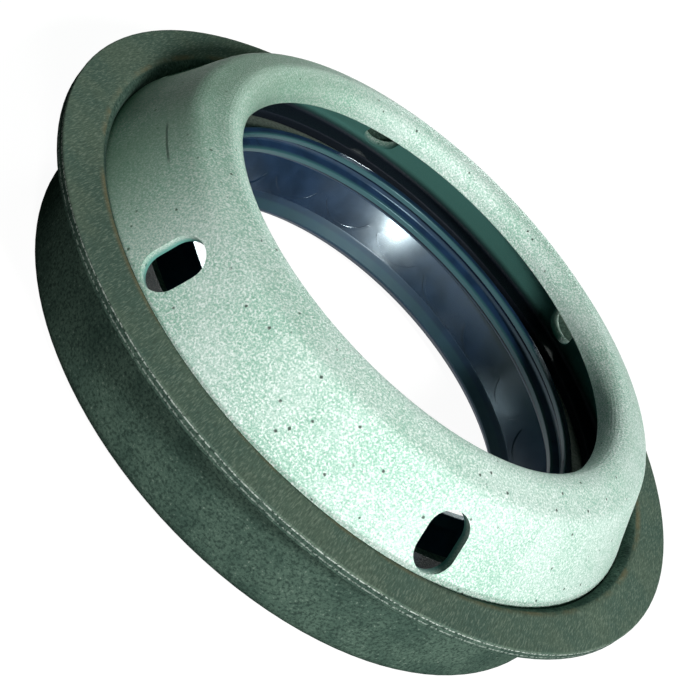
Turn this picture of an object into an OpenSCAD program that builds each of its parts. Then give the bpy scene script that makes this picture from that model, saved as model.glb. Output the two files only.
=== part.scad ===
// Flanged shaft seal for a gearbox output: a pressed steel case, a seat ring that carries the
// moulded rubber lip and its garter spring, and a conical dust shield with drain slots.
// Z is the shaft axis with the shield upwards, and the case stands on its foot at Z = 0.
// All lengths are in millimetres and all angles in degrees.

/* [Fit] */
// Diameter of the shaft that turns in the seal
shaft_d = 42; // [36:0.5:50]
// Radial width from the shaft to the housing bore
section_w = 10; // [9.4:0.1:12]
// Oversize of the case's radius on the housing bore, for the press fit
press_allowance = 0.08; // [0.04:0.01:0.12]

/* [Case] */
// Thickness of the case's steel sheet
case_sheet = 1; // [0.8:0.05:1.2]
// Height from the foot to the top face of the flange
case_h = 11.2; // [10:0.1:13]
// Width of the flange outside the wall
flange_w = 3.42; // [2:0.02:6]
// Inside radius of the bend between wall and flange
flange_bend = 0.3; // [0.1:0.05:0.8]
// Inside radius of the foot's corner
foot_bend = 0.5; // [0.2:0.1:1]
// Width of the inturned foot, from the outside of the wall
foot_w = 3.48; // [2.5:0.02:4]

/* [Dust shield] */
// Thickness of the shield's steel sheet
shield_sheet = 1; // [0.8:0.05:1.2]
// Gap all round between the shaft and the opening
opening_gap = 0.3; // [0.15:0.05:0.6]
// Height of the opening's lower edge above the flange
opening_rise = 4; // [3.4:0.1:4.4]
// Inside radius of the bend at the crest
crest_bend = 0.9; // [0.5:0.1:1.1]
// Width of the top, from the opening to the shoulder
top_w = 4.9; // [4.6:0.05:5.4]
// Slope of the top from level, rising towards the opening
top_angle = 21; // [16:0.5:26]
// Inside radius of the shoulder's bend
shoulder_bend = 1; // [0.5:0.1:2]
// Height of the shoulder's corner above the flange
shoulder_rise = 5.65; // [5.4:0.05:6.4]
// Inside radius of the bend at the shield's foot
shield_foot_bend = 0.3; // [0.2:0.05:0.6]
// Width of the inturned foot that lies on the seat ring, from the bore of the case
shield_foot_w = 3.48; // [2.6:0.02:3.8]

/* [Drain slots] */
// Number of drain slots round the shield's wall
slots = 6; // [3:1:10]
// Width of a slot round the wall
slot_w = 3.65; // [2.5:0.05:4.4]
// Length of a slot up the wall
slot_l = 5.3; // [4.5:0.1:5.6]
// Distance of a slot's middle up the wall from the flange's level
slot_rise = 1.95; // [1.8:0.05:2.6]

/* [Seat ring] */
// Thickness of the seat ring's steel sheet
seat_sheet = 1; // [0.8:0.05:1.2]
// Depth of the seat ring's top face below the flange's top face
seat_drop = 2.8; // [2.4:0.1:3.2]
// Inside radius of the seat ring's corner
seat_bend = 0.5; // [0.2:0.1:1]
// Radial distance from the shaft to the seat ring's inner rim
seat_gap = 3; // [2.7:0.1:3.3]
// Gap between the seat ring's leg and the foot of the case
leg_gap = 0.5; // [0.2:0.1:2]

/* [Seal element] */
// Radial stretch of the sealing edge when the shaft is in
lip_stretch = 0.43; // [0.2:0.01:0.6]
// Height of the sealing edge above the case's foot
lip_z = 1.75; // [1.4:0.05:2.2]
// Width of the sealing edge's land
lip_land = 0.25; // [0.15:0.05:0.4]
// Slope of the lip's air face from the shaft axis
lip_angle = 32; // [28:1:35]
// Length of the lip's air face along the axis
lip_face = 1.38; // [1.1:0.02:1.6]
// Radial depth of the lip's oil face
oil_face = 0.8; // [0.6:0.05:1]
// Slope of the lip's oil face from the shaft axis
oil_angle = 47; // [42:1:55]
// Number of dust ridges above the lip
ridges = 2; // [1:1:2]
// Radial gap between the shaft and the dust ridges
ridge_gap = 0.95; // [0.7:0.05:1.2]
// Height of the upper ridge's crest above the seat ring
ridge_rise = 2; // [1.8:0.05:2.3]
// Width of a ridge's crest
ridge_w = 0.5; // [0.4:0.05:0.6]
// Length of a ridge's flank along the axis
ridge_flank = 0.5; // [0.4:0.05:0.6]
// Radial thickness of the upper ridge's tip
ridge_tip = 0.75; // [0.6:0.05:0.9]
// Depth of the grooves behind the ridges
groove_depth = 0.85; // [0.7:0.05:0.95]
// Width of a groove's floor
groove_w = 0.5; // [0.4:0.05:0.6]
// Width of the rubber's root on top of the seat ring
root_w = 1; // [0.6:0.1:1.4]
// Width of the rubber's skirt under the seat ring
skirt_w = 2.4; // [1.6:0.1:2.8]
// Thickness of that skirt
skirt_t = 0.8; // [0.5:0.05:1.2]
// Thickness of the lip's flexing wall
flex_t = 1.35; // [1.1:0.05:1.6]

/* [Pumping ribs] */
// Number of bowed ribs on the bore, which push oil back whichever way the shaft turns
ribs = 20; // [12:1:20]
// Turn of the first rib from the first drain slot
rib_turn = 11; // [0:0.5:18]
// Radius of a rib's bow
rib_bow = 3.2; // [2.6:0.1:3.2]
// Rise of a rib's two ends above its lowest point
rib_rise = 1.45; // [1:0.05:1.8]
// Width of a rib
rib_w = 0.25; // [0.2:0.01:0.35]
// Height of a rib above the bore
rib_h = 0.1; // [0.06:0.01:0.16]

/* [Garter spring] */
// Outside diameter of the spring's coil
coil_d = 1.6; // [1.3:0.05:1.8]
// Radial distance from the sealing edge to the middle of the coil
spring_inset = 2.93; // [2.8:0.01:3.1]
// Height of the spring's plane above the sealing edge
spring_rise = 0.7; // [0.5:0.05:0.9]

/* [Hidden] */
// Facets of a full turn
$fn = 120;
// Largest turn between two points of a round in an outline
arc_step = 11;
// Rounding left on the sheared edges of the steel
edge = 0.15;
// Run of a cutter past the sheet it opens, and of a rib into the rubber under it
over = 0.5;
bite = 0.2;
// Rounds of the rubber: at its ridges, and at its thicker bends
ridge_round = 0.25;
wall_round = 0.5;
// Rubber between the spring's middle and the rim of its groove, outwards, upwards and downwards
spring_wrap = 0.5;
spring_cover = 0.15;
heel_t = 0.2;

// Radii of the shaft, of the case's wall, and of its bore, where seat ring and shield fit line to line
shaft_r = shaft_d / 2;
case_r = shaft_r + section_w + press_allowance;
case_bore_r = case_r - case_sheet;
// Level of the seat ring's top face, on which the shield's foot rests, and radius of its inner rim
seat_z = case_h - seat_drop;
seat_r = shaft_r + seat_gap;

// Shield: the opening's radius, the shoulder's corner and the crest's level
opening_r = shaft_r + opening_gap;
shoulder_r = opening_r + top_w;
shoulder_z = case_h + shoulder_rise;
crest_z = shoulder_z + top_w * tan(top_angle);
// The shield's wall leans from the shoulder to the foot's bend, which touches the bore of the case
foot_out = shield_foot_bend + shield_sheet;
bend_run = case_bore_r - foot_out - shoulder_r;
bend_drop = shoulder_z - seat_z - foot_out;
wall_angle = atan2(bend_run, bend_drop) + asin(foot_out / norm([bend_run, bend_drop]));
shield_foot_r = shoulder_r + (shoulder_z - seat_z) * tan(wall_angle);
// Level of a slot's middle, and radius of the shield's wall there
slot_z = case_h + slot_rise * cos(wall_angle);
slot_r = shoulder_r + (shoulder_z - slot_z) * tan(wall_angle);

// Rubber: the sealing edge, the end of the lip's air face, the ridges and their grooves
lip_r = shaft_r - lip_stretch;
face_z = lip_z + lip_land + lip_face;
face_r = lip_r + lip_face * tan(lip_angle);
ridge_r = shaft_r + ridge_gap;
groove_r = ridge_r + groove_depth;
ridge_pitch = ridge_w + 2 * ridge_flank + groove_w;
ridge_z = seat_z + ridge_rise;
// Level where the conical bore starts under the last ridge, and the bore's slope
cone_z = ridge_z - (ridges - 1) * ridge_pitch - ridge_w - ridge_flank;
cone_angle = atan2(groove_r - face_r, cone_z - face_z);
// Middle of the coil
spring_r = lip_r + spring_inset;
spring_z = lip_z + spring_rise;

// Plane point of a corner that also carries a radius
function xy(p) = [p[0], p[1]];

// Unit vector along v
function unit(v) = v / norm(v);

// Vector v turned a quarter turn to its left
function left(v) = [-v[1], v[0]];

// Points of corner p between its neighbours a and b, rounded to the radius p[2]
function round_corner(a, p, b) =
    let (u = unit(xy(a) - xy(p)), v = unit(xy(b) - xy(p)))
    let (half = acos(u * v) / 2, r = p[2])
    let (c = xy(p) + unit(u + v) * r / sin(half))
    let (s = xy(p) + u * r / tan(half) - c)
    let (sweep = sign(cross(-u, v)) * (180 - 2 * half))
    let (start = atan2(s[1], s[0]), n = ceil(abs(sweep) / arc_step))
    r <= 0 ? [xy(p)] : [for (i = [0:n]) c + r * [cos(start + sweep * i / n), sin(start + sweep * i / n)]];

// Closed outline with every corner [x, y, radius] rounded
function rounded(line) =
    let (n = len(line))
    [for (i = [0:n - 1]) each round_corner(line[(i + n - 1) % n], line[i], line[(i + 1) % n])];

// Corner i of the face that lies d to the left of a bent sheet's line, with its bend's radius:
// line holds the corners of the right-hand face and the inside radii, and t is the sheet's thickness
function face_corner(line, i, t, d) =
    let (n = len(line), p = xy(line[i]))
    i == 0 ? concat(p + left(unit(xy(line[1]) - p)) * d, edge) :
    i == n - 1 ? concat(p + left(unit(p - xy(line[n - 2]))) * d, edge) :
    let (u = unit(p - xy(line[i - 1])), v = unit(xy(line[i + 1]) - p))
    concat(p + (left(u) + left(v)) * d / (1 + u * v), line[i][2] + (cross(u, v) > 0 ? t - d : d));

// Section of a sheet bent along a line
function bent_sheet(line, t) =
    let (n = len(line))
    rounded(concat(
        [for (i = [0:n - 1]) face_corner(line, i, t, 0)],
        [for (i = [n - 1:-1:0]) face_corner(line, i, t, t)]));

// Section of the case: inturned foot, wall and outward flange
module case_section() {
    polygon(bent_sheet([
        [case_r - foot_w, 0],
        [case_r, 0, foot_bend],
        [case_r, case_h - case_sheet, flange_bend],
        [case_r + flange_w, case_h - case_sheet]], case_sheet));
}

// Section of the seat ring: a leg inside the case's wall and a flange towards the shaft
module seat_section() {
    polygon(bent_sheet([
        [case_bore_r, case_sheet + leg_gap],
        [case_bore_r, seat_z, seat_bend],
        [seat_r, seat_z]], seat_sheet));
}

// Section of the shield: inturned foot, sloping wall, sloping top and turned-down opening
module shield_section() {
    polygon(bent_sheet([
        [case_bore_r - shield_foot_w, seat_z],
        [shield_foot_r, seat_z, shield_foot_bend],
        [shoulder_r, shoulder_z, shoulder_bend],
        [opening_r, crest_z, crest_bend],
        [opening_r, case_h + opening_rise]], shield_sheet));
}

// Bore side of ridge number i, from its crest down to the groove under it
function ridge_line(i) =
    let (top = ridge_z - i * ridge_pitch, floor_z = top - ridge_w - ridge_flank)
    let (last = i == ridges - 1)
    concat(
        [[ridge_r, top, ridge_round / 2],
        [ridge_r, top - ridge_w, ridge_round / 2],
        [groove_r, floor_z, ridge_round]],
        last ? [] : [[groove_r, floor_z - groove_w, ridge_round]]);

// Section of the rubber, filled where the seat ring and the spring are let into it
module rubber_blank() {
    skirt_z = seat_z - seat_sheet - skirt_t;
    spring_rim_r = spring_r + spring_wrap;
    spring_rim_z = spring_z + coil_d / 2 + spring_cover;
    oil_z = lip_z - oil_face / tan(oil_angle);
    air_side = [
        [seat_r + root_w, seat_z, 0],
        [groove_r + ridge_tip / 2, ridge_z - ridge_tip, wall_round],
        [ridge_r + ridge_tip, ridge_z + spring_cover, ridge_round]];
    bore_side = [for (i = [0:ridges - 1]) each ridge_line(i)];
    lip_side = [
        [face_r, face_z, wall_round],
        [lip_r, lip_z + lip_land, 0],
        [lip_r, lip_z, 0],
        [lip_r + oil_face, oil_z, ridge_round],
        [spring_r + heel_t, oil_z - heel_t, wall_round],
        [spring_rim_r, spring_z, 0],
        [spring_rim_r, spring_rim_z, ridge_round]];
    flex_side = [
        [face_r + flex_t, face_z + flex_t / 2, wall_round],
        [groove_r + flex_t / 2, skirt_z - flex_t / 2, wall_round],
        [seat_r + ridge_round, skirt_z, ridge_round],
        [seat_r + skirt_w, skirt_z, ridge_round],
        [seat_r + skirt_w, seat_z - seat_sheet, 0],
        [seat_r + root_w, seat_z - seat_sheet / 2, 0]];
    polygon(rounded(concat(air_side, bore_side, lip_side, flex_side)));
}

// Thin skin on the conical bore that the ribs are cut from, let into the rubber
module rib_skin() {
    out = [cos(cone_angle), -sin(cone_angle)];
    up = [sin(cone_angle), cos(cone_angle)];
    low = [face_r, face_z];
    high = low + up * (over + rib_rise / cos(cone_angle));
    polygon([low - out * rib_h, low + out * bite, high + out * bite, high - out * rib_h]);
}

// One rib: a bow on the bore whose lowest point lies near the lip's air face
module pump_rib() {
    bow_up = over / 2 + rib_w / 2 + rib_bow;
    intersection() {
        rotate_extrude()
        rib_skin();
        translate([face_r + bow_up * sin(cone_angle), 0, face_z + bow_up * cos(cone_angle)])
        rotate([0, 90 + cone_angle, 0])
        difference() {
            cylinder(r = rib_bow + rib_w / 2, h = 4 * over, center = true);
            cylinder(r = rib_bow - rib_w / 2, h = 5 * over, center = true);
        }
    }
}

module outer_case() {
    color([0.17, 0.19, 0.18])
    rotate_extrude()
    case_section();
}

module seat_ring() {
    color([0.55, 0.58, 0.56])
    rotate_extrude()
    seat_section();
}

module seal_element() {
    color([0.05, 0.07, 0.09]) {
        rotate_extrude()
        difference() {
            rubber_blank();
            seat_section();
            translate([spring_r, spring_z])
            circle(d = coil_d);
        }
        for (i = [0:ribs - 1])
            rotate([0, 0, rib_turn + i * 360 / ribs])
            pump_rib();
    }
}

module garter_spring() {
    color([0.6, 0.61, 0.62])
    rotate_extrude()
    translate([spring_r, spring_z])
    circle(d = coil_d);
}

// Cutter of one drain slot, square to the wall, its length up the slope
module slot_cutter() {
    half = (slot_l - slot_w) / 2;
    depth = shield_sheet + 2 * over;
    translate([slot_r, 0, slot_z])
    rotate([0, 90 - wall_angle, 0])
    translate([0, 0, -shield_sheet - over]) {
        translate([-half, 0, 0])
        cylinder(d = slot_w, h = depth);
        translate([half, 0, 0])
        cylinder(d = slot_w, h = depth);
        translate([-half, -slot_w / 2, 0])
        cube([2 * half, slot_w, depth]);
    }
}

module dust_shield() {
    color([0.7, 0.76, 0.72])
    difference() {
        rotate_extrude()
        shield_section();
        for (i = [0:slots - 1])
            rotate([0, 0, i * 360 / slots])
            slot_cutter();
    }
}

outer_case();
seat_ring();
seal_element();
garter_spring();
dust_shield();
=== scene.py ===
"""Looks of a flanged shaft seal: finishes, garter spring, floor, light and camera."""
import math

import bpy
from mathutils import Matrix, Vector


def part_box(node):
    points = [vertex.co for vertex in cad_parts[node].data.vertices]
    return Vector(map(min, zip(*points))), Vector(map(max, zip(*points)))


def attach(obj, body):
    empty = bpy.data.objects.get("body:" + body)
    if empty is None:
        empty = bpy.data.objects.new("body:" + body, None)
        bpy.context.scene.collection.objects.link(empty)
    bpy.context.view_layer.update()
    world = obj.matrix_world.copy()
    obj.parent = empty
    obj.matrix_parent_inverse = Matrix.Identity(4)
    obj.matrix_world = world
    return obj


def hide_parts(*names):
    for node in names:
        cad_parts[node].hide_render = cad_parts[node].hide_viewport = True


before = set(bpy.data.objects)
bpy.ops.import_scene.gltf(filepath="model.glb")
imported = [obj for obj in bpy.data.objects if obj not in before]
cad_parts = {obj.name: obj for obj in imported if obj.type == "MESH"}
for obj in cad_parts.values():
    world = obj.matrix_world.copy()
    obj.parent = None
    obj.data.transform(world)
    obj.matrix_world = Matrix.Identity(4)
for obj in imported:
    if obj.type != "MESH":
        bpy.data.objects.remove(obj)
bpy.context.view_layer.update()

MM = 0.001
UP = Vector((0, 0, 1))
WHITE = (1.0, 1.0, 1.0, 1.0)

# Camera: the photograph is square, so the sensor's width and height are alike
CAMERA_PLACE = Vector((-2.18, -104.16, 63.42)) * MM
CAMERA_AIM = Vector((-0.49, -11.58, 11.2)) * MM
CAMERA_ROLL = math.radians(46.62)
CAMERA_LENS = 65.95
CAMERA_SENSOR = 36.0
CAMERA_NEAR = 5 * MM

# Even light from all round: its tint and strength
SHADE = (0.5, 1.0, 0.75, 1.0)
SHADE_LEVEL = 0.06

# Lamps and the point they look at. Each has a name, azimuth and elevation in degrees, distance and
# size in metres, power in watts and a colour
LAMP_AIM = Vector((0, 0, 10)) * MM
LAMPS = (
    ("low", -62, 17.2, 0.6, 0.07, 2.4, (1.0, 1.0, 0.98)),
    ("high", -48, 37, 0.36, 0.05, 1.45, (1.0, 0.99, 0.96)),
    ("back", 95, 20, 0.6, 0.12, 1.5, (0.92, 1.0, 0.96)),
)

# Floor's radius and backdrop's height in metres, sides of both, and the gap that keeps the floor
# clear of the foot of the case
STAGE_RADIUS = 3.0
STAGE_WALL = 1.3
STAGE_SIDES = 64
FLOOR_GAP = 0.05 * MM
FLOOR_COLOUR = (0.12, 0.12, 0.12, 1)
FLOOR_GLOW = 0.955

# Garter spring: mean ring, outer coil and wire diameters, turns, steps in a turn, sides of the wire
SPRING_RING = 47 * MM
SPRING_COIL = 1.6 * MM
SPRING_WIRE = 0.36 * MM
SPRING_TURNS = 372
SPRING_STEPS = 14
WIRE_SIDES = 6

# A colour mix has sockets of the same name for numbers and colours, so they are told by place
MIX_SHARE, MIX_UNDER, MIX_OVER = 0, 6, 7
MIX_RESULT = 2


def fade(low, high, at_low=0.0, at_high=1.0):
    """A value from low to high becomes at_low to at_high, smoothly and within those ends."""
    return {"From Min": low, "From Max": high, "To Min": at_low, "To Max": at_high}


def fade_out(low, high, share=1.0):
    """The whole share up to low, and nothing from high on."""
    return fade(low, high, share, 0.0)


def band(low, full_from, full_to, high):
    """Fades in from low, is full between the middle two, and is gone at high."""
    return fade(low, full_from), fade_out(full_to, high)


def blotches(size, detail=2.0, rough=0.5):
    """Noise whose blotches are about size metres across."""
    return {"Scale": 1 / size, "Detail": detail, "Roughness": rough}


class Shader:
    """One material's node tree, with short calls for the nodes that the finishes use."""

    def __init__(self, name):
        self.material = bpy.data.materials.new(name)
        self.material.use_nodes = True
        self.tree = self.material.node_tree
        self.surface = self.tree.nodes["Principled BSDF"]
        self.place = self.node("ShaderNodeTexCoord").outputs["Object"]

    def node(self, kind, inputs=None, **settings):
        """A new node with the given settings, its inputs fed by their names or places."""
        made = self.tree.nodes.new(kind)
        for key, value in settings.items():
            setattr(made, key, value)
        for key, value in (inputs or {}).items():
            self.feed(made.inputs[key], value)
        return made

    def feed(self, socket, value):
        """Links an output to the socket, or writes a plain value on it."""
        if isinstance(value, bpy.types.NodeSocket):
            self.tree.links.new(value, socket)
        else:
            socket.default_value = value

    def math(self, operation, a, b=0.0):
        return self.node("ShaderNodeMath", {0: a, 1: b}, operation=operation).outputs[0]

    def product(self, first, *others):
        """All the values multiplied."""
        for other in others:
            first = self.math("MULTIPLY", first, other)
        return first

    def rest(self, share):
        """What the share leaves of the whole."""
        return self.math("SUBTRACT", 1.0, share)

    def mix(self, share, under, over):
        """The colour over laid on the colour under, as much as the share says."""
        inputs = {MIX_SHARE: share, MIX_UNDER: under, MIX_OVER: over}
        return self.node("ShaderNodeMix", inputs, data_type="RGBA").outputs[MIX_RESULT]

    def noise(self, kind, place=None):
        inputs = {"Vector": place or self.place, **kind}
        return self.node("ShaderNodeTexNoise", inputs).outputs[0]

    def cells(self, size):
        """Distance from the middle of cells that are about size metres across."""
        inputs = {"Vector": self.place, "Scale": 1 / size}
        return self.node("ShaderNodeTexVoronoi", inputs).outputs["Distance"]

    def span(self, value, kind):
        """The value after a fade."""
        inputs = {"Value": value, **kind}
        made = self.node("ShaderNodeMapRange", inputs, interpolation_type="SMOOTHSTEP")
        return made.outputs[0]

    def between(self, value, kind):
        """How far the value is within a band."""
        fade_in, gone = kind
        return self.product(self.span(value, fade_in), self.span(value, gone))

    def layer(self, under, value, kind):
        """A colour laid on the colour under, as much as the fade of the value says."""
        colour, share = kind
        return self.mix(self.span(value, share), under, colour)

    def axes(self):
        """X, Y and Z of the place."""
        return self.node("ShaderNodeSeparateXYZ", {0: self.place}).outputs

    def radius(self, x, y):
        """Distance from the shaft axis."""
        return self.math("SQRT", self.math("ADD", self.product(x, x), self.product(y, y)))

    def stretched(self, scale, turn):
        """The place turned and scaled unevenly, for scratches."""
        inputs = {"Vector": self.place, "Rotation": turn, "Scale": scale}
        return self.node("ShaderNodeMapping", inputs).outputs[0]

    def bump(self, height, depth):
        return self.node("ShaderNodeBump", {"Distance": depth, "Height": height}).outputs[0]

    def material_with(self, **values):
        """The material with sockets of its surface set, called by their names in lower case."""
        sockets = {made.name.lower().replace(" ", "_"): made for made in self.surface.inputs}
        for key, value in values.items():
            self.feed(sockets[key], value)
        return self.material


# Zinc of the dust shield: noises, then colours with the fades that lay them on
ZINC_GRAIN = blotches(0.17 * MM, 3.0, 0.7)
ZINC_SPECKLE = blotches(0.10 * MM, 2.0, 0.6)
ZINC_CLOUD = blotches(7 * MM, 4.0, 0.6)
ZINC_DULL = (0.25, 0.43, 0.35, 1)
ZINC_CLEAN = (0.37, 0.51, 0.46, 1), fade(0.32, 0.68)
ZINC_SPARK = (0.70, 0.76, 0.74, 1), fade(0.44, 0.66, 0.0, 0.9)
ZINC_HOLLOW = (0.16, 0.31, 0.23, 1), fade_out(0.30, 0.44, 0.7)
ZINC_SPECK = (0.10, 0.20, 0.16, 1), fade_out(0.26, 0.38, 0.8)
ZINC_METALLIC = 0.12
ZINC_ROUGHNESS = fade(0.3, 0.7, 0.62, 0.44)
ZINC_BUMP = 0.05 * MM

# Pits in the zinc: distance between them, raggedness and edge, and the patches that have them
PIT_PITCH = 1.3 * MM
PIT_RAGGED = 0.12
PIT_EDGE = fade_out(0.13, 0.19, 0.9)
PIT_PATCH = blotches(3 * MM)
PIT_PATCH_EDGE = fade(0.44, 0.52)
PIT_COLOUR = (0.02, 0.03, 0.025, 1)

# Painted shade on the shield's side at negative X, darker and greener in blotches, and one scratch
# in it along Y
SIDE_SHADE_REACH = fade_out(-26 * MM, -11 * MM, 0.75)
SIDE_SHADE_CLOUD = fade(0.25, 0.55, 0.6, 1.0)
SIDE_SHADE_COLOUR = (0.085, 0.20, 0.12, 1)
SCRATCH_LENGTH = band(-18.4 * MM, -17.2 * MM, -14.4 * MM, -13.2 * MM)
SCRATCH_WIDTH = band(14.64 * MM, 14.72 * MM, 14.80 * MM, 14.90 * MM)
SCRATCH_SIDE = fade_out(-19 * MM, -18 * MM, 0.8)
SCRATCH_COLOUR = (0.03, 0.06, 0.045, 1)

# Painted shade inside the shield. It ends within the wall's sheet, by radii carried down to level 0
# along the wall's lean, and at the opening's lower edge. It is darkest, as painted shadow, just
# above the foot
SHIELD_LEAN = math.tan(math.radians(29.7))
SHIELD_SHEET = fade_out(34.8 * MM, 35.6 * MM)
SHIELD_OPENING = fade_out(14.9 * MM, 15.2 * MM)
INSIDE_SHADOW_DARK = (0.004, 0.007, 0.012, 1)
INSIDE_SHADE_PALE = (0.09, 0.25, 0.22, 1), fade(9.5 * MM, 10.7 * MM)


def shield_finish():
    """Matt zinc-coated steel: pale green-grey, fine sparkling grain, dark pits, painted shade on
    the side at negative X and inside.
    """
    s = Shader("shield_zinc")
    x, y, z = s.axes()
    grain = s.noise(ZINC_GRAIN)
    speckle = s.noise(ZINC_SPECKLE)
    cloud = s.noise(ZINC_CLOUD)
    base = s.layer(ZINC_DULL, cloud, ZINC_CLEAN)
    base = s.layer(base, grain, ZINC_SPARK)
    base = s.layer(base, grain, ZINC_HOLLOW)
    base = s.layer(base, speckle, ZINC_SPECK)
    ragged = s.math("ADD", s.cells(PIT_PITCH), s.product(speckle, PIT_RAGGED))
    pit = s.product(s.span(ragged, PIT_EDGE), s.span(s.noise(PIT_PATCH), PIT_PATCH_EDGE))
    base = s.mix(pit, base, PIT_COLOUR)
    # painted shade: blotches on the side at negative X made darker and greener
    side_shade = s.product(s.span(x, SIDE_SHADE_REACH), s.span(cloud, SIDE_SHADE_CLOUD))
    base = s.mix(side_shade, base, SIDE_SHADE_COLOUR)
    scratch = s.product(s.between(y, SCRATCH_LENGTH), s.between(z, SCRATCH_WIDTH),
                        s.span(x, SCRATCH_SIDE))
    base = s.mix(scratch, base, SCRATCH_COLOUR)
    carried_down = s.math("ADD", s.radius(x, y), s.product(z, SHIELD_LEAN))
    # painted shade inside the shield, darkest as painted shadow just above the foot
    inside = s.product(s.span(carried_down, SHIELD_SHEET), s.span(z, SHIELD_OPENING))
    base = s.mix(inside, base, s.layer(INSIDE_SHADOW_DARK, z, INSIDE_SHADE_PALE))
    return s.material_with(
        base_color=base,
        metallic=s.product(s.rest(inside), ZINC_METALLIC),
        roughness=s.span(grain, ZINC_ROUGHNESS),
        specular_ior_level=0.15,
        normal=s.bump(s.math("ADD", grain, speckle), ZINC_BUMP))


# Coat of the case: noises, the uneven scale and turn that draw one of them out into hairs, then
# colours with the fades that lay them on
CASE_GRAIN = blotches(0.25 * MM, 3.0, 0.65)
CASE_CLOUD = blotches(5 * MM, 4.0, 0.6)
CASE_HAIRS = blotches(1.0, 3.0, 0.7)
HAIR_SCALE = (9000, 1500, 4000)
HAIR_TURN = (0, 0, math.radians(38))
COAT_DARK = (0.038, 0.068, 0.054, 1)
COAT_PALE = (0.062, 0.102, 0.080, 1), fade(0.35, 0.65)
COAT_HOLLOW = (0.014, 0.026, 0.022, 1), fade_out(0.34, 0.58, 0.75)
COAT_SPARK = (0.16, 0.20, 0.17, 1), fade(0.62, 0.76)
CASE_ROUGHNESS = fade(0.3, 0.7, 0.72, 0.58)
CASE_BUMP = 0.02 * MM

# Top of the flange: its level and worn colours, and the rust on its inner part
FLANGE_TOP = fade(11.0 * MM, 11.12 * MM)
WORN_PALE = (0.070, 0.104, 0.078, 1)
WORN_DARK = (0.052, 0.088, 0.070, 1), fade(0.35, 0.65)
WORN_BRIGHT_HAIR = (0.17, 0.21, 0.17, 1), fade(0.48, 0.70, 0.0, 0.6)
WORN_DARK_HAIR = (0.045, 0.06, 0.05, 1), fade_out(0.30, 0.48, 0.7)
RUST_REACH = fade_out(30.9 * MM, 31.5 * MM, 0.5)
RUST_CLOUD = fade(0.42, 0.62)
RUST_COLOUR = (0.17, 0.125, 0.06, 1)

# Edge of the flange: its radius, and pale lines near the top of it and, fainter, halfway down,
# which are painted highlight on steel worn through the coat
FLANGE_EDGE = fade(34.30 * MM, 34.40 * MM)
UPPER_LINE = band(10.94 * MM, 10.99 * MM, 11.05 * MM, 11.10 * MM)
LOWER_LINE = band(10.50 * MM, 10.55 * MM, 10.62 * MM, 10.68 * MM)
LOWER_LINE_SHARE = 0.5
EDGE_GLINT_AND_WEAR_GRAIN = fade(0.40, 0.60)
EDGE_GLINT_AND_WEAR_COLOUR = (0.38, 0.43, 0.40, 1)


def case_finish():
    """Matt charcoal phosphate coat, scratched on top of the flange, with pale lines round its edge
    of painted highlight on worn steel.
    """
    s = Shader("case_phosphate")
    x, y, z = s.axes()
    radius = s.radius(x, y)
    grain = s.noise(CASE_GRAIN)
    hairs = s.noise(CASE_HAIRS, s.stretched(HAIR_SCALE, HAIR_TURN))
    cloud = s.noise(CASE_CLOUD)
    coat = s.layer(COAT_DARK, cloud, COAT_PALE)
    coat = s.layer(coat, grain, COAT_HOLLOW)
    coat = s.layer(coat, grain, COAT_SPARK)
    worn = s.layer(WORN_PALE, cloud, WORN_DARK)
    worn = s.layer(worn, hairs, WORN_BRIGHT_HAIR)
    worn = s.layer(worn, hairs, WORN_DARK_HAIR)
    rust = s.product(s.span(radius, RUST_REACH), s.span(cloud, RUST_CLOUD))
    worn = s.mix(rust, worn, RUST_COLOUR)
    base = s.mix(s.span(z, FLANGE_TOP), coat, worn)
    lower_line = s.product(s.between(z, LOWER_LINE), LOWER_LINE_SHARE)
    lines = s.math("ADD", s.between(z, UPPER_LINE), lower_line)
    # pale lines on the flange's edge: painted highlight, on steel worn through the coat
    edge_glint_and_wear = s.product(s.span(radius, FLANGE_EDGE), lines, s.span(grain, EDGE_GLINT_AND_WEAR_GRAIN))
    base = s.mix(edge_glint_and_wear, base, EDGE_GLINT_AND_WEAR_COLOUR)
    return s.material_with(
        base_color=base,
        metallic=0.0,
        roughness=s.span(grain, CASE_ROUGHNESS),
        specular_ior_level=0.0,
        normal=s.bump(s.math("ADD", grain, hairs), CASE_BUMP))


# Steel of the seat ring, darkened as painted shade
SEAT_GRAIN = blotches(0.3 * MM, 3.0, 0.6)
SEAT_SHADE_DARK = (0.075, 0.100, 0.085, 1)
SEAT_SHADE_PALE = (0.140, 0.175, 0.150, 1), fade(0.35, 0.65)
SEAT_ROUGHNESS = fade(0.3, 0.7, 0.55, 0.42)
SEAT_BUMP = 0.01 * MM


def seat_finish():
    """Plain pressed steel, darkened as painted shade."""
    s = Shader("seat_plain_steel")
    grain = s.noise(SEAT_GRAIN)
    # both colours are kept dark as painted shade
    return s.material_with(
        base_color=s.layer(SEAT_SHADE_DARK, grain, SEAT_SHADE_PALE),
        metallic=0.2,
        roughness=s.span(grain, SEAT_ROUGHNESS),
        specular_ior_level=0.2,
        normal=s.bump(grain, SEAT_BUMP))


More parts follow.
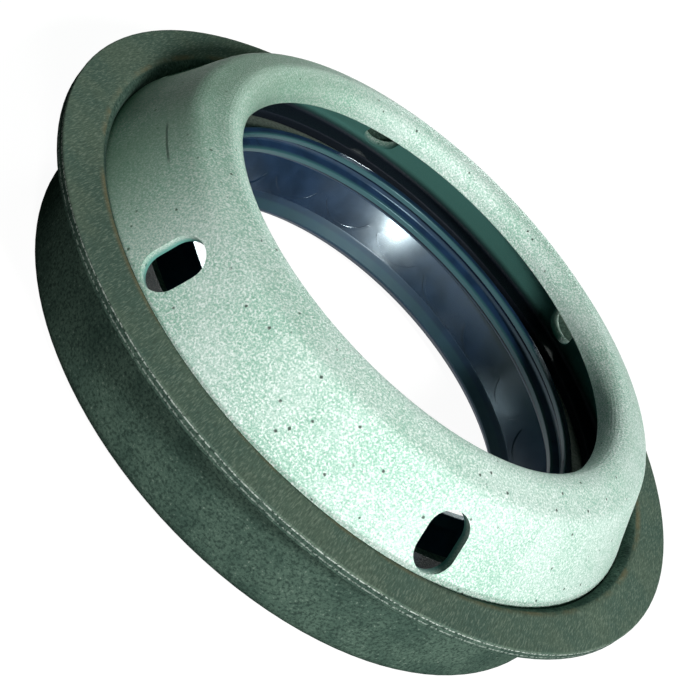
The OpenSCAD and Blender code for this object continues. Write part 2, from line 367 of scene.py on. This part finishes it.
# Rubber: noises and colours, then the painted sheen, a pale band on the lip's air face and on the
# crests of the ridges, and the levels where the lip's matt face and the glossy cone over it end
RUBBER_FILM = blotches(2.2 * MM, 3.0)
RUBBER_SKIN = blotches(0.45 * MM, 3.0)
RUBBER_BLACK = (0.006, 0.016, 0.036, 1)
RUBBER_BLUE = (0.009, 0.024, 0.056, 1), fade(0.3, 0.7)
RUBBER_SHEEN = (0.022, 0.066, 0.074, 1)
RUBBER_TINT = (0.62, 0.88, 1.0, 1)
RUBBER_ROUGHNESS = fade(0.3, 0.7, 0.22, 0.26)
RUBBER_BUMP = 0.004 * MM
LIP_SHEEN_BAND = band(1.8 * MM, 2.0 * MM, 2.7 * MM, 3.0 * MM)
LIP_SHEEN_SHARE = 0.45
CREST_SHEEN_RADIUS = fade_out(21.95 * MM, 22.30 * MM)
CREST_SHEEN_LEVEL = fade(7.6 * MM, 8.0 * MM)
FACE_END = fade_out(3.3 * MM, 3.5 * MM)
FACE_ROUGHNESS = 0.35
CONE_END = fade_out(7.1 * MM, 7.4 * MM)
CONE_SPECULAR = fade(0.0, 1.0, 0.6, 1.0)
CONE_COAT = 0.8


def rubber_finish():
    """Blue-black moulded rubber, glossy with oil on the cone, with painted sheen on the lip and the
    crests.
    """
    s = Shader("seal_rubber_oiled")
    x, y, z = s.axes()
    film = s.noise(RUBBER_FILM)
    base = s.layer(RUBBER_BLACK, film, RUBBER_BLUE)
    # painted sheen: a pale band on the lip's air face and pale crests on the ridges
    lip = s.product(s.between(z, LIP_SHEEN_BAND), LIP_SHEEN_SHARE)
    crest = s.product(s.span(s.radius(x, y), CREST_SHEEN_RADIUS), s.span(z, CREST_SHEEN_LEVEL))
    base = s.mix(s.math("MAXIMUM", lip, crest), base, RUBBER_SHEEN)
    face = s.span(z, FACE_END)
    cone = s.product(s.rest(face), s.span(z, CONE_END))
    matt = s.product(face, FACE_ROUGHNESS)
    return s.material_with(
        base_color=base,
        roughness=s.math("ADD", s.span(film, RUBBER_ROUGHNESS), matt),
        specular_ior_level=s.span(cone, CONE_SPECULAR),
        specular_tint=RUBBER_TINT,
        coat_weight=s.product(cone, CONE_COAT),
        coat_roughness=0.22,
        coat_ior=1.6,
        normal=s.bump(s.noise(RUBBER_SKIN), RUBBER_BUMP))


# Wire of the garter spring
WIRE_GRAIN = blotches(0.4 * MM)
WIRE_DARK = (0.40, 0.41, 0.42, 1)
WIRE_BRIGHT = (0.58, 0.59, 0.60, 1), fade(0.3, 0.7)
WIRE_ROUGHNESS = fade(0.3, 0.7, 0.25, 0.4)


def spring_finish():
    """Bright drawn wire."""
    s = Shader("spring_wire")
    grain = s.noise(WIRE_GRAIN)
    return s.material_with(
        base_color=s.layer(WIRE_DARK, grain, WIRE_BRIGHT),
        metallic=1.0,
        roughness=s.span(grain, WIRE_ROUGHNESS))


def floor_finish():
    """White floor that keeps the shadow. It glows for camera, glossy and transmission rays, so that
    bare floor reads white, but gives matt surfaces no light of its own."""
    s = Shader("white_floor")
    path = s.node("ShaderNodeLightPath").outputs
    glossy_or_clear = s.math("MAXIMUM", path["Is Glossy Ray"], path["Is Transmission Ray"])
    direct = s.math("MAXIMUM", path["Is Camera Ray"], glossy_or_clear)
    return s.material_with(
        base_color=FLOOR_COLOUR,
        roughness=0.9,
        specular_ior_level=0.0,
        emission_color=WHITE,
        emission_strength=s.product(direct, FLOOR_GLOW))


def assign(node, material):
    """Gives a CAD node's object one finish."""
    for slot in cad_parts[node].material_slots:
        slot.material = material


def mesh_piece(name, points, faces, material):
    """A smooth mesh object in the scene."""
    mesh = bpy.data.meshes.new(name)
    mesh.from_pydata(points, [], faces)
    mesh.polygons.foreach_set("use_smooth", [True] * len(mesh.polygons))
    mesh.materials.append(material)
    made = bpy.data.objects.new(name, mesh)
    bpy.context.scene.collection.objects.link(made)
    return made


def garter_coil(material):
    """The close-wound wire of the spring, its coil's middle on the CAD ring."""
    low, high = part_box("garter_spring")
    level = (low[2] + high[2]) / 2
    ring_r = SPRING_RING / 2
    coil_r = (SPRING_COIL - SPRING_WIRE) / 2
    wire_r = SPRING_WIRE / 2
    count = SPRING_TURNS * SPRING_STEPS
    points = []
    faces = []
    for i in range(count):
        around = math.tau * i / count
        twist = math.tau * i / SPRING_STEPS
        outward = Vector((math.cos(around), math.sin(around), 0))
        arm = outward * math.cos(twist) + UP * math.sin(twist)
        along = outward.cross(UP)
        middle = outward * ring_r + UP * level + arm * coil_r
        here = i * WIRE_SIDES
        there = (i + 1) % count * WIRE_SIDES
        for k in range(WIRE_SIDES):
            turn = math.tau * k / WIRE_SIDES
            points.append(middle + (arm * math.cos(turn) + along * math.sin(turn)) * wire_r)
            after = (k + 1) % WIRE_SIDES
            faces.append((here + k, here + after, there + after, there + k))
    return mesh_piece("garter_coil", points, faces, material)


def area_lamp(name, azimuth, elevation, distance, size, power, colour):
    """A soft square lamp that looks at the seal from the given direction."""
    data = bpy.data.lights.new(name, "AREA")
    data.size = size
    data.energy = power
    data.color = colour
    made = bpy.data.objects.new(name, data)
    a = math.radians(azimuth)
    e = math.radians(elevation)
    away = Vector((math.cos(e) * math.cos(a), math.cos(e) * math.sin(a), math.sin(e)))
    made.location = LAMP_AIM + away * distance
    made.rotation_euler = away.to_track_quat("Z", "Y").to_euler()
    bpy.context.scene.collection.objects.link(made)


def make_world():
    """Even light from all round."""
    world = bpy.data.worlds.new("studio")
    world.use_nodes = True
    bpy.context.scene.world = world
    background = world.node_tree.nodes["Background"]
    background.inputs["Color"].default_value = SHADE
    background.inputs["Strength"].default_value = SHADE_LEVEL


def make_stage(material):
    """A round white floor, and a low white wall round its edge that hides the horizon."""
    angles = [math.tau * i / STAGE_SIDES for i in range(STAGE_SIDES)]
    ring = [(STAGE_RADIUS * math.cos(a), STAGE_RADIUS * math.sin(a)) for a in angles]
    rim = [(x, y, 0) for x, y in ring]
    top = [(x, y, STAGE_WALL) for x, y in ring]
    floor = mesh_piece("floor", rim, [tuple(range(STAGE_SIDES))], material)
    faces = []
    for i in range(STAGE_SIDES):
        after = (i + 1) % STAGE_SIDES
        faces.append((i, i + STAGE_SIDES, after + STAGE_SIDES, after))
    wall = mesh_piece("backdrop", rim + top, faces, material)
    for piece in (floor, wall):
        piece.location.z = -FLOOR_GAP


def make_camera():
    """The photograph's camera, turned by the roll about its line of sight."""
    data = bpy.data.cameras.new("camera")
    data.lens = CAMERA_LENS
    data.sensor_width = CAMERA_SENSOR
    data.clip_start = CAMERA_NEAR
    made = bpy.data.objects.new("camera", data)
    back = (CAMERA_PLACE - CAMERA_AIM).normalized()
    level_right = UP.cross(back).normalized()
    level_up = back.cross(level_right)
    right = level_right * math.cos(CAMERA_ROLL) + level_up * math.sin(CAMERA_ROLL)
    up = back.cross(right)
    turned = Matrix((right, up, back)).transposed().to_4x4()
    made.matrix_world = Matrix.Translation(CAMERA_PLACE) @ turned
    bpy.context.scene.collection.objects.link(made)
    bpy.context.scene.camera = made


bpy.context.scene.view_settings.view_transform = "Standard"
make_camera()
make_stage(floor_finish())
make_world()
for lamp in LAMPS:
    area_lamp(*lamp)

assign("outer_case", case_finish())
assign("seat_ring", seat_finish())
assign("seal_element", rubber_finish())
assign("dust_shield", shield_finish())

coil = garter_coil(spring_finish())
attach(coil, "root")
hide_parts("garter_spring")
